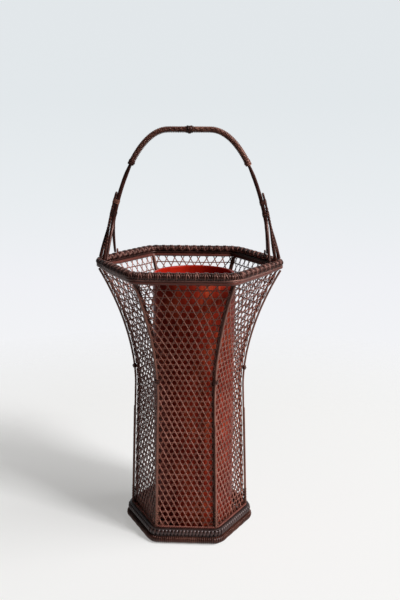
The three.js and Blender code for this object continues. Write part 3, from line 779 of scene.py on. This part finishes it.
def make_leg(sign):
    """A cane bent double. Its halves lie behind each other beside the arch and turn to lie beside each
    other lower down, where fine lashing crosses between them."""
    line = leg_line()
    outs = in_plane_outs(line)
    angle = math.pi / 2 * leg_turn(line[:, 2], LEG_TURN_BOTTOM)
    spread = LEG_SPREAD + (LEG_SPREAD_AT_FOOT - LEG_SPREAD) * leg_turn(line[:, 2], LEG_FOOT[1])
    apart = np.outer(np.cos(angle), (0, 1, 0)) + outs * np.sin(angle)[:, None]
    inner = line - apart * spread[:, None]
    outer = line + apart * spread[:, None]
    tangent = unit(line[1] - line[0])
    turn = np.linspace(0, math.pi, 12)[1:-1, None]
    loop = line[0] - apart[0] * np.cos(turn) * LEG_SPREAD - tangent * np.sin(turn) * LEG_SPREAD
    apothem = float(wall_apothem(LEG_BOTTOM)) - WALL_THICKNESS - GAP - HOOP_THICKNESS
    inside = apothem / COS30 - GAP - LEG_CANE_AT_FOOT / 2 - 0.1
    bottom = [(inside, 0, LEG_BOTTOM), (inside, 0, RIM_TOP - 5)]
    whole = np.vstack([bottom, inner[::-1], loop, outer])
    flip = (sign, 1, 1)
    grown = 1 + (LEG_CANE_AT_FOOT / LEG_CANE - 1) * leg_turn(whole[:, 2], LEG_FOOT[1])
    leg = Piece()
    leg.strand(whole * flip, outs[0] * flip, oval(LEG_CANE, LEG_CANE, 10), sizes=grown)
    lashing = Piece()
    path = Path(line * flip, apart * flip)
    for hand in (-1, 1):
        wind(lashing, path, LEG_CANE * 2 + 0.9, LEG_CANE + 0.5, 3.4, oval(0.75, 0.45), 14, path.length - 7,
             hand=hand, phase=0.4, size=lambda places: 1 + 0.3 * leg_turn(places[:, 2], LEG_FOOT[1]))
    return leg, lashing


def make_leg_lashing(height, sign):
    """Turns round both canes of the handle and the leg beside them."""
    lashing = Piece()
    middle = arch_length(height, sign)
    centre, out = ARCH_PATH.at(np.linspace(middle - 4, middle + 4, 17))[:2]
    inner = -CANE_TALL_ON_FLANK / 2
    outer = LEG_OFFSET + LEG_CANE / 2
    path = Path(centre + out * (inner + outer) / 2, out)
    deep = outer - inner
    wide = 2 * CANE_WIDE + GAP
    half = path.length / 2
    wind(lashing, path, deep + 0.3, wide + 0.3, 1.15, oval(1.15, 0.45), half - 2.3, half + 2.3, steps=28,
         square=3.5)
    wind(lashing, path, deep + 0.8, wide + 0.8, 3.2, oval(0.8, 0.35), half - 1.6, half + 1.6, steps=28,
         hand=-1, phase=1.2, square=3.5)
    return lashing


def make_cane_pegs():
    """The split ends of the back canes stand up beside their feet on the rim."""
    pegs = Piece()
    for sign in (-1, 1):
        base = cane_foot(1) * (sign, 1, 1) + (-sign * 2.6, 0.4, -1.6)
        rises = np.outer((0, 2.5, 4.6, 5.2), UP)
        pegs.strand(base + rises, (0, 1, 0), oval(2.3, 2.0), sizes=(1, 1, 0.9, 0.5))
    return pegs


# Loose tube

def tube_profile():
    """Radii and heights of the tube's section: up its outside, over the lip and down inside. Long
    stretches are cut into short ones."""
    radius = TUBE_RADIUS
    bottom = TUBE_BOTTOM
    top = TUBE_TOP
    corners = [(0, bottom), (radius - 3, bottom), (radius - 1.2, bottom + 0.5), (radius, bottom + 2)]
    for height in TUBE_NODES:
        corners += [(radius, height - 6), (radius - 0.15, height - 2.5), (radius - 0.5, height - 0.6),
                    (radius - 0.55, height), (radius - 0.1, height + 0.9), (radius, height + 5)]
    inside = radius - TUBE_WALL
    floor = bottom + TUBE_FLOOR
    corners += [(radius, top - 1.6), (radius - 0.4, top - 0.5), (radius - 1.2, top), (inside + 0.9, top),
                (inside + 0.2, top - 0.5), (inside, top - 1.6), (inside, top - 40), (inside, 150),
                (inside, floor + 3), (inside - 1, floor + 0.8), (inside - 3, floor), (0, floor)]
    profile = corners[:1]
    for a, b in zip(corners, corners[1:]):
        steps = max(1, round(math.dist(a, b) / 12))
        for k in range(1, steps + 1):
            profile.append((a[0] + (b[0] - a[0]) * k / steps, a[1] + (b[1] - a[1]) * k / steps))
    return profile


def make_tube(count=128):
    """A turned length of bamboo with two node rings, closed at the bottom and a little out of round."""
    profile = tube_profile()
    points = []
    for radius, height in profile:
        for k in range(count):
            angle = 2 * math.pi * k / count
            warp = 0.0035 * math.sin(2 * angle + 0.7) if radius > 5 else 0
            away = radius * (1 + warp)
            points.append((away * math.cos(angle) + TUBE_SHIFT, away * math.sin(angle), height))
    faces = []
    for i in range(len(profile) - 1):
        for k in range(count):
            j = (k + 1) % count
            faces.append((i * count + k, i * count + j, (i + 1) * count + j, (i + 1) * count + k))
    mesh = bpy.data.meshes.new("lacquered_tube")
    mesh.from_pydata((np.array(points) * MM).tolist(), [], faces)
    work = bmesh.new()
    work.from_mesh(mesh)
    bmesh.ops.remove_doubles(work, verts=work.verts, dist=1e-6)
    bmesh.ops.recalc_face_normals(work, faces=work.faces)
    work.to_mesh(mesh)
    work.free()
    mesh.shade_smooth()
    mesh.set_sharp_from_angle(angle=math.radians(60))
    return mesh


# Materials

class Graph:
    """Short ways to build the nodes of a material or of the world. A value given to one of them is a
    number, a colour or the output of another node."""

    def __init__(self, tree):
        self.tree = tree

    def node(self, kind, inputs=None):
        """A new node with values for its inputs."""
        return self.fill(self.tree.nodes.new("ShaderNode" + kind), inputs or {})

    def fill(self, node, inputs):
        """Give values to a node's inputs, by their names or numbers."""
        for key, value in inputs.items():
            if isinstance(value, bpy.types.NodeSocket):
                self.tree.links.new(value, node.inputs[key])
            else:
                node.inputs[key].default_value = value
        return node

    def attribute(self, name):
        """What each strand carries under a name."""
        node = self.node("Attribute")
        node.attribute_name = name
        return node.outputs["Fac"]

    def maths(self, operation, a, b=0.0, clamp=False):
        """The result of one operation on one or two numbers."""
        node = self.node("Math", {0: a, 1: b})
        node.operation = operation
        node.use_clamp = clamp
        return node.outputs[0]

    def weigh(self, *parts):
        """The sum of values, each times its weight."""
        total = None
        for value, weight in parts:
            part = self.maths("MULTIPLY", value, weight)
            total = part if total is None else self.maths("ADD", total, part)
        return total

    def length(self, vector):
        """How long a vector is."""
        node = self.node("VectorMath", {0: vector})
        node.operation = "LENGTH"
        return node.outputs["Value"]

    def noise(self, vector, scale, detail, roughness=0.55):
        """Smooth random values around 0.5."""
        inputs = {"Vector": vector, "Scale": scale, "Detail": detail, "Roughness": roughness}
        return self.node("TexNoise", inputs).outputs["Fac"]

    def ramp(self, value, stops):
        """The colour at a value from 0 to 1, between stops that are places and colours."""
        node = self.node("ValToRGB", {"Fac": value})
        elements = node.color_ramp.elements
        while len(elements) < len(stops):
            elements.new(0.5)
        for element, (place, colour) in zip(elements, stops):
            element.position = place
            element.color = (*colour, 1)
        return node.outputs["Color"]

    def spread(self, value, low, high, to_low, to_high):
        """A value between low and high, stretched to lie between two others."""
        return self.node("MapRange", {0: value, 1: low, 2: high, 3: to_low, 4: to_high}).outputs["Result"]

    def mix(self, share, a, b, blend="MIX"):
        """Colour a, with a share of b mixed or multiplied into it."""
        node = self.node("Mix")
        node.data_type = "RGBA"
        node.blend_type = blend
        return self.fill(node, {"Factor": share, 6: a, 7: b}).outputs[2]

    def bump(self, height, strength, distance):
        """Normals of a surface that stands proud by a height, in metres at most distance."""
        inputs = {"Height": height, "Strength": strength, "Distance": distance}
        return self.node("Bump", inputs).outputs[0]


def new_material(name):
    """A material, the graph that builds its nodes, and its shader."""
    material = bpy.data.materials.new(name)
    material.use_nodes = True
    tree = material.node_tree
    return material, Graph(tree), tree.nodes["Principled BSDF"]


def cane_material(name, dark, mid, light, rough=0.38, grain=1.0, edge=0.6, shine=0.4,
                  tint=(1.0, 0.62, 0.54), reach=0.4):
    """Stained split cane: fibres along each strand, a tone of its own for each, painted shade at its edges.
    A short reach takes the colour from dark to light within a small part of the fibres' pattern."""
    material, graph, shader = new_material(name)
    tone = graph.attribute("tone")
    along = graph.attribute("along")
    across = graph.attribute("across")
    fibre_place = graph.node("CombineXYZ", {
        "X": graph.maths("MULTIPLY", along, 0.11 * grain),
        "Y": graph.maths("MULTIPLY", across, 2.6),
        "Z": graph.maths("MULTIPLY", tone, 57.0),
    })
    fibre = graph.noise(fibre_place.outputs[0], 1.6, 4.0, 0.65)
    patch = graph.noise(graph.node("TexCoord").outputs["Object"], 55.0, 2.0)
    shade = graph.weigh((tone, 0.42), (fibre, 0.62), (patch, 0.45))
    shade = graph.maths("SUBTRACT", shade, 0.28, clamp=True)
    colour = graph.ramp(shade, ((0.5 - reach, dark), (0.5, mid), (0.5 + reach, light)))
    # Painted shade: the colour darkens towards both edges of each strand, where it meets its neighbours,
    # the more so with a larger edge.
    rim = graph.maths("POWER", graph.maths("ABSOLUTE", across), 3.0)
    rim = graph.maths("MULTIPLY", rim, edge)
    gloss = graph.weigh((fibre, 0.22), (patch, 0.12))
    graph.fill(shader, {
        "Base Color": graph.mix(rim, colour, (0.22, 0.18, 0.17, 1), "MULTIPLY"),
        "Roughness": graph.maths("ADD", gloss, rough - 0.17),
        "Normal": graph.bump(fibre, 0.35, 0.00012),
        "Specular IOR Level": shine,
        "Specular Tint": (*tint, 1),
    })
    return material


def lacquer_material(name):
    """Red-brown lacquer over bamboo: brighter inside, and worn thin in streaks."""
    material, graph, shader = new_material(name)
    place = graph.node("TexCoord").outputs["Object"]
    stretched = graph.node("Mapping", {"Vector": place, "Scale": (240, 240, 9)})
    fibre = graph.noise(stretched.outputs[0], 1.0, 4.0, 0.6)
    patch = graph.noise(place, 26.0, 3.0)
    shade = graph.weigh((fibre, 0.55), (patch, 0.6))
    outer = graph.ramp(shade, (
        (0.35, (0.11, 0.006, 0.003)), (0.58, (0.29, 0.022, 0.010)), (0.8, (0.52, 0.090, 0.034))))
    inner = graph.ramp(shade, ((0.3, (0.28, 0.008, 0.003)), (0.8, (0.48, 0.018, 0.006))))
    apart = graph.node("SeparateXYZ", {0: place}).outputs
    from_axis = graph.node("CombineXYZ", {
        "X": graph.maths("SUBTRACT", apart["X"], TUBE_SHIFT * MM),
        "Y": apart["Y"],
    })
    radius = graph.length(from_axis.outputs[0])
    outside = graph.spread(radius, (TUBE_RADIUS - 2.6) * MM, (TUBE_RADIUS - 1.2) * MM, 0, 1)
    graph.fill(shader, {
        "Base Color": graph.mix(outside, inner, outer),
        "Roughness": graph.spread(shade, 0.3, 0.9, 0.24, 0.46),
        "Normal": graph.bump(fibre, 0.25, 0.0002),
        "Specular IOR Level": 0.2,
        "Specular Tint": (1.0, 0.5, 0.4, 1),
    })
    return material


BOUND = {"rough": 0.32, "grain": 2.0}

WEAVE_MATERIAL = cane_material(
    "weave_strips", (0.050, 0.016, 0.012), (0.270, 0.088, 0.060), (0.64, 0.32, 0.26), rough=0.33, shine=0.6)
RIB_MATERIAL = cane_material(
    "rib_bars", (0.040, 0.013, 0.010), (0.220, 0.092, 0.068), (0.42, 0.210, 0.160))
RIM_MATERIAL = cane_material(
    "rim_binding", (0.014, 0.006, 0.005), (0.076, 0.027, 0.021), (0.34, 0.16, 0.13), edge=0.8, reach=0.24,
    **BOUND)
HOOP_MATERIAL = cane_material(
    "hoop_strips", (0.055, 0.014, 0.010), (0.160, 0.045, 0.034), (0.30, 0.110, 0.085))
FOOT_MATERIAL = cane_material(
    "foot_binding", (0.026, 0.008, 0.005), (0.100, 0.033, 0.022), (0.36, 0.160, 0.105), edge=0.85,
    reach=0.2, **BOUND)
BEAD_MATERIAL = cane_material(
    "foot_beading", (0.010, 0.005, 0.004), (0.042, 0.020, 0.017), (0.180, 0.105, 0.092), rough=0.36,
    shine=0.45, tint=(1.0, 0.90, 0.92))
CANE_MATERIAL = cane_material(
    "handle_cane", (0.022, 0.008, 0.006), (0.110, 0.038, 0.030), (0.42, 0.200, 0.165), rough=0.32)
WRAP_MATERIAL = cane_material(
    "grip_lashing", (0.022, 0.009, 0.007), (0.095, 0.033, 0.025), (0.36, 0.160, 0.110), edge=0.85,
    reach=0.22, **BOUND)
TUBE_MATERIAL = lacquer_material("lacquer")


# Assembly. Each call to place names the piece, its material and the nodes that it replaces.

SIDES = ("back_right", "back", "back_left", "front_left", "front", "front_right")
CORNERS = ("right", "back_right", "back_left", "left", "front_left", "front_right")
walls = ["wall_" + side for side in SIDES]

rising, falling, level = make_weave()
rising.place("weave_rising", WEAVE_MATERIAL, "weave", *walls)
falling.place("weave_falling", WEAVE_MATERIAL, "weave", *walls)
level.place("weave_level", WEAVE_MATERIAL, "weave", *walls)
make_floor().place("weave_bottom", WEAVE_MATERIAL, "weave", "floor_weave")

for i, corner in enumerate(CORNERS):
    make_rib(i * SIXTH).place("rib_bar_" + corner, RIB_MATERIAL, "rib", "rib_" + corner)
    make_inner_rib(i * SIXTH).place("inner_bar_" + corner, RIB_MATERIAL, "rib", "inner_rib_" + corner)
    make_rib_wraps(i * SIXTH).place("rib_wraps_" + corner, WRAP_MATERIAL, "wrap", "rib_tie_" + corner)

make_rim_core().place("rim_core", RIM_MATERIAL, "rim", "rim_roll")
make_rim_wraps().place("rim_wraps", RIM_MATERIAL, "rim", "rim_roll")
make_rim_loops().place("rim_loops", RIM_MATERIAL, "rim", "rim_roll")
make_hoop(OUTER_HOOP_DEPTH, OUTER_HOOP_THICKNESS).place(
    "outer_hoop", HOOP_MATERIAL, "hoop", "rim_outer_hoop")
make_hoop(-WALL_THICKNESS - GAP - HOOP_THICKNESS / 2, HOOP_THICKNESS).place(
    "inner_hoop", HOOP_MATERIAL, "hoop", "rim_inner_hoop")

core, wraps = make_foot_roll()
# The foot's bundle wears the dark beading material as painted shade in the gaps between the wraps.
core.place("foot_core", BEAD_MATERIAL, "foot", "foot_roll")
wraps.place("foot_wraps", FOOT_MATERIAL, "foot", "foot_roll")
core, beads = make_foot_beads()
core.place("bead_core", BEAD_MATERIAL, "foot", "foot_beads")
beads.place("bead_loops", BEAD_MATERIAL, "foot", "foot_beads")
make_foot_cord().place("foot_twist", HOOP_MATERIAL, "hoop", "foot_cord")

make_cane(-1).place("cane_front", CANE_MATERIAL, "cane", "handle_cane_front")
make_cane(1).place("cane_back", CANE_MATERIAL, "cane", "handle_cane_back")
grip, lacing = make_grip()
windings = ["grip_winding_left", "grip_winding_right"]
grip.place("grip_turns", WRAP_MATERIAL, "wrap", *windings)
lacing.place("grip_lacing", WRAP_MATERIAL, "wrap", *windings)
make_knot(ARCH_PATH.length / 2, 5, 1.5, GRIP_WIDE + 0.3, GRIP_TALL + 0.3, 0.85).place(
    "grip_centre_knot", WRAP_MATERIAL, "wrap", "grip_knot")
for side, sign in (("left", -1), ("right", 1)):
    make_knot(arch_length(GRIP_END, sign), 4, 1.4, GRIP_WIDE - 0.1, GRIP_TALL, 0.6).place(
        "grip_knot_" + side, WRAP_MATERIAL, "wrap", "grip_end_knot_" + side)
    leg, lashing = make_leg(sign)
    leg.place("leg_" + side, CANE_MATERIAL, "cane", "corner_leg_" + side)
    lashing.place("leg_lacing_" + side, WRAP_MATERIAL, "wrap")
    for name, height in LEG_TIES:
        make_leg_lashing(height, sign).place(
            f"leg_tie_{side}_{name}", WRAP_MATERIAL, "wrap", f"leg_lashing_{side}_{name}")
make_cane_pegs().place("cane_pegs", CANE_MATERIAL, "cane")

tube = bpy.data.objects.new("lacquered_tube", make_tube())
tube.data.materials.append(TUBE_MATERIAL)
bpy.context.scene.collection.objects.link(tube)
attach(tube, "tube")
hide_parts("liner_tube")

for name in ("floor_lath_front", "floor_lath_back"):
    lath = bpy.data.objects[name]
    lath.data.materials.clear()
    lath.data.materials.append(RIB_MATERIAL)


# Floor and backdrop

def seen_directly(graph, mirrored=1.0):
    """1 for rays from the camera, mirrors and glass, 0 for the light that falls on things. Mirrored is
    how much of this a mirror sees."""
    rays = graph.node("LightPath").outputs
    glossy = graph.maths("MULTIPLY", rays["Is Glossy Ray"], mirrored)
    direct = graph.maths("MAXIMUM", rays["Is Camera Ray"], glossy)
    return graph.maths("MAXIMUM", direct, rays["Is Transmission Ray"])


def make_world():
    """A pale backdrop that fades upwards, seen from all sides and mirrored only from behind the basket,
    and a faint even light."""
    world = bpy.data.worlds.new("studio")
    bpy.context.scene.world = world
    world.use_nodes = True
    world.node_tree.nodes.clear()
    graph = Graph(world.node_tree)
    direction = graph.node("SeparateXYZ", {0: graph.node("TexCoord").outputs["Generated"]}).outputs
    sky = graph.ramp(graph.spread(direction["Z"], -0.42, 0.22, 0, 1), (
        (0.0, (0.890, 0.890, 0.885)), (0.19, (0.896, 0.905, 0.922)), (0.35, (0.871, 0.880, 0.913)),
        (0.51, (0.815, 0.847, 0.871)), (0.71, (0.767, 0.807, 0.831)), (1.0, (0.760, 0.795, 0.820))))
    seen = graph.node("Background", {"Color": sky, "Strength": 1.0})
    ambient = graph.node("Background", {"Color": (0.98, 0.99, 1.0, 1), "Strength": 0.055})
    behind = graph.spread(direction["Y"], 0.6, 0.9, 0, 1)
    mix = graph.node("MixShader", {
        0: seen_directly(graph, behind), 1: ambient.outputs[0], 2: seen.outputs[0]})
    graph.node("OutputWorld", {"Surface": mix.outputs[0]})


def make_studio_floor(reach=4.0, below=0.0002):
    """A sheet under the basket that takes its shadow and fades into the backdrop. It is in metres."""
    mesh = bpy.data.meshes.new("studio_floor")
    corners = [(-reach, -reach), (reach, -reach), (reach, reach), (-reach, reach)]
    mesh.from_pydata([(x, y, -below) for x, y in corners], [], [(0, 1, 2, 3)])
    sheet = bpy.data.objects.new("studio_floor", mesh)
    bpy.context.scene.collection.objects.link(sheet)
    material, graph, shader = new_material("studio_floor")
    seen = seen_directly(graph)
    distance = graph.length(graph.node("TexCoord").outputs["Object"])
    graph.fill(shader, {
        "Base Color": graph.spread(seen, 0, 1, 0.25, 0.55),
        "Emission Color": (1.0, 0.99, 0.965, 1),
        "Emission Strength": graph.maths("MULTIPLY", seen, 0.375),
        "Roughness": 0.9,
        "Specular IOR Level": 0.1,
        "Alpha": graph.spread(distance, 0.38, 0.85, 1, 0),
    })
    mesh.materials.append(material)


make_world()
make_studio_floor()


# Light and camera. Places are in metres, the lamps' angles in degrees and the camera's in radians.

LIT_POINT = Vector((0, 0, 0.2))
CAMERA_PLACE = (0.0475, -0.7987, 0.4443)
CAMERA_DOWN = 0.2257
CAMERA_ROLL = -0.004
CAMERA_TURN = 0.0455
CAMERA_LENS = 44.556
FILM_HEIGHT = 36


def softbox(name, azimuth, elevation, away, size, watts):
    """A square lamp that shines on the basket from a direction and a distance."""
    light = bpy.data.lights.new(name, "AREA")
    light.shape = "SQUARE"
    light.size = size
    light.energy = watts
    lamp = bpy.data.objects.new(name, light)
    bpy.context.scene.collection.objects.link(lamp)
    a = math.radians(azimuth)
    e = math.radians(elevation)
    towards = Vector((math.cos(e) * math.cos(a), math.cos(e) * math.sin(a), math.sin(e)))
    lamp.location = LIT_POINT + towards * away
    lamp.rotation_euler = (-towards).to_track_quat("-Z", "Y").to_euler()


softbox("key", azimuth=-32, elevation=38, away=9.0, size=2.0, watts=710)
softbox("right", azimuth=-8, elevation=42, away=10.0, size=7.0, watts=600)

camera_data = bpy.data.cameras.new("camera")
camera_data.sensor_fit = "VERTICAL"
camera_data.sensor_height = FILM_HEIGHT
camera_data.lens = CAMERA_LENS
camera_data.clip_start = 0.01
camera = bpy.data.objects.new("camera", camera_data)
bpy.context.scene.collection.objects.link(camera)
camera.location = CAMERA_PLACE
camera.rotation_euler = (math.pi / 2 - CAMERA_DOWN, CAMERA_ROLL, CAMERA_TURN)
bpy.context.scene.camera = camera
bpy.context.scene.view_settings.view_transform = "Standard"
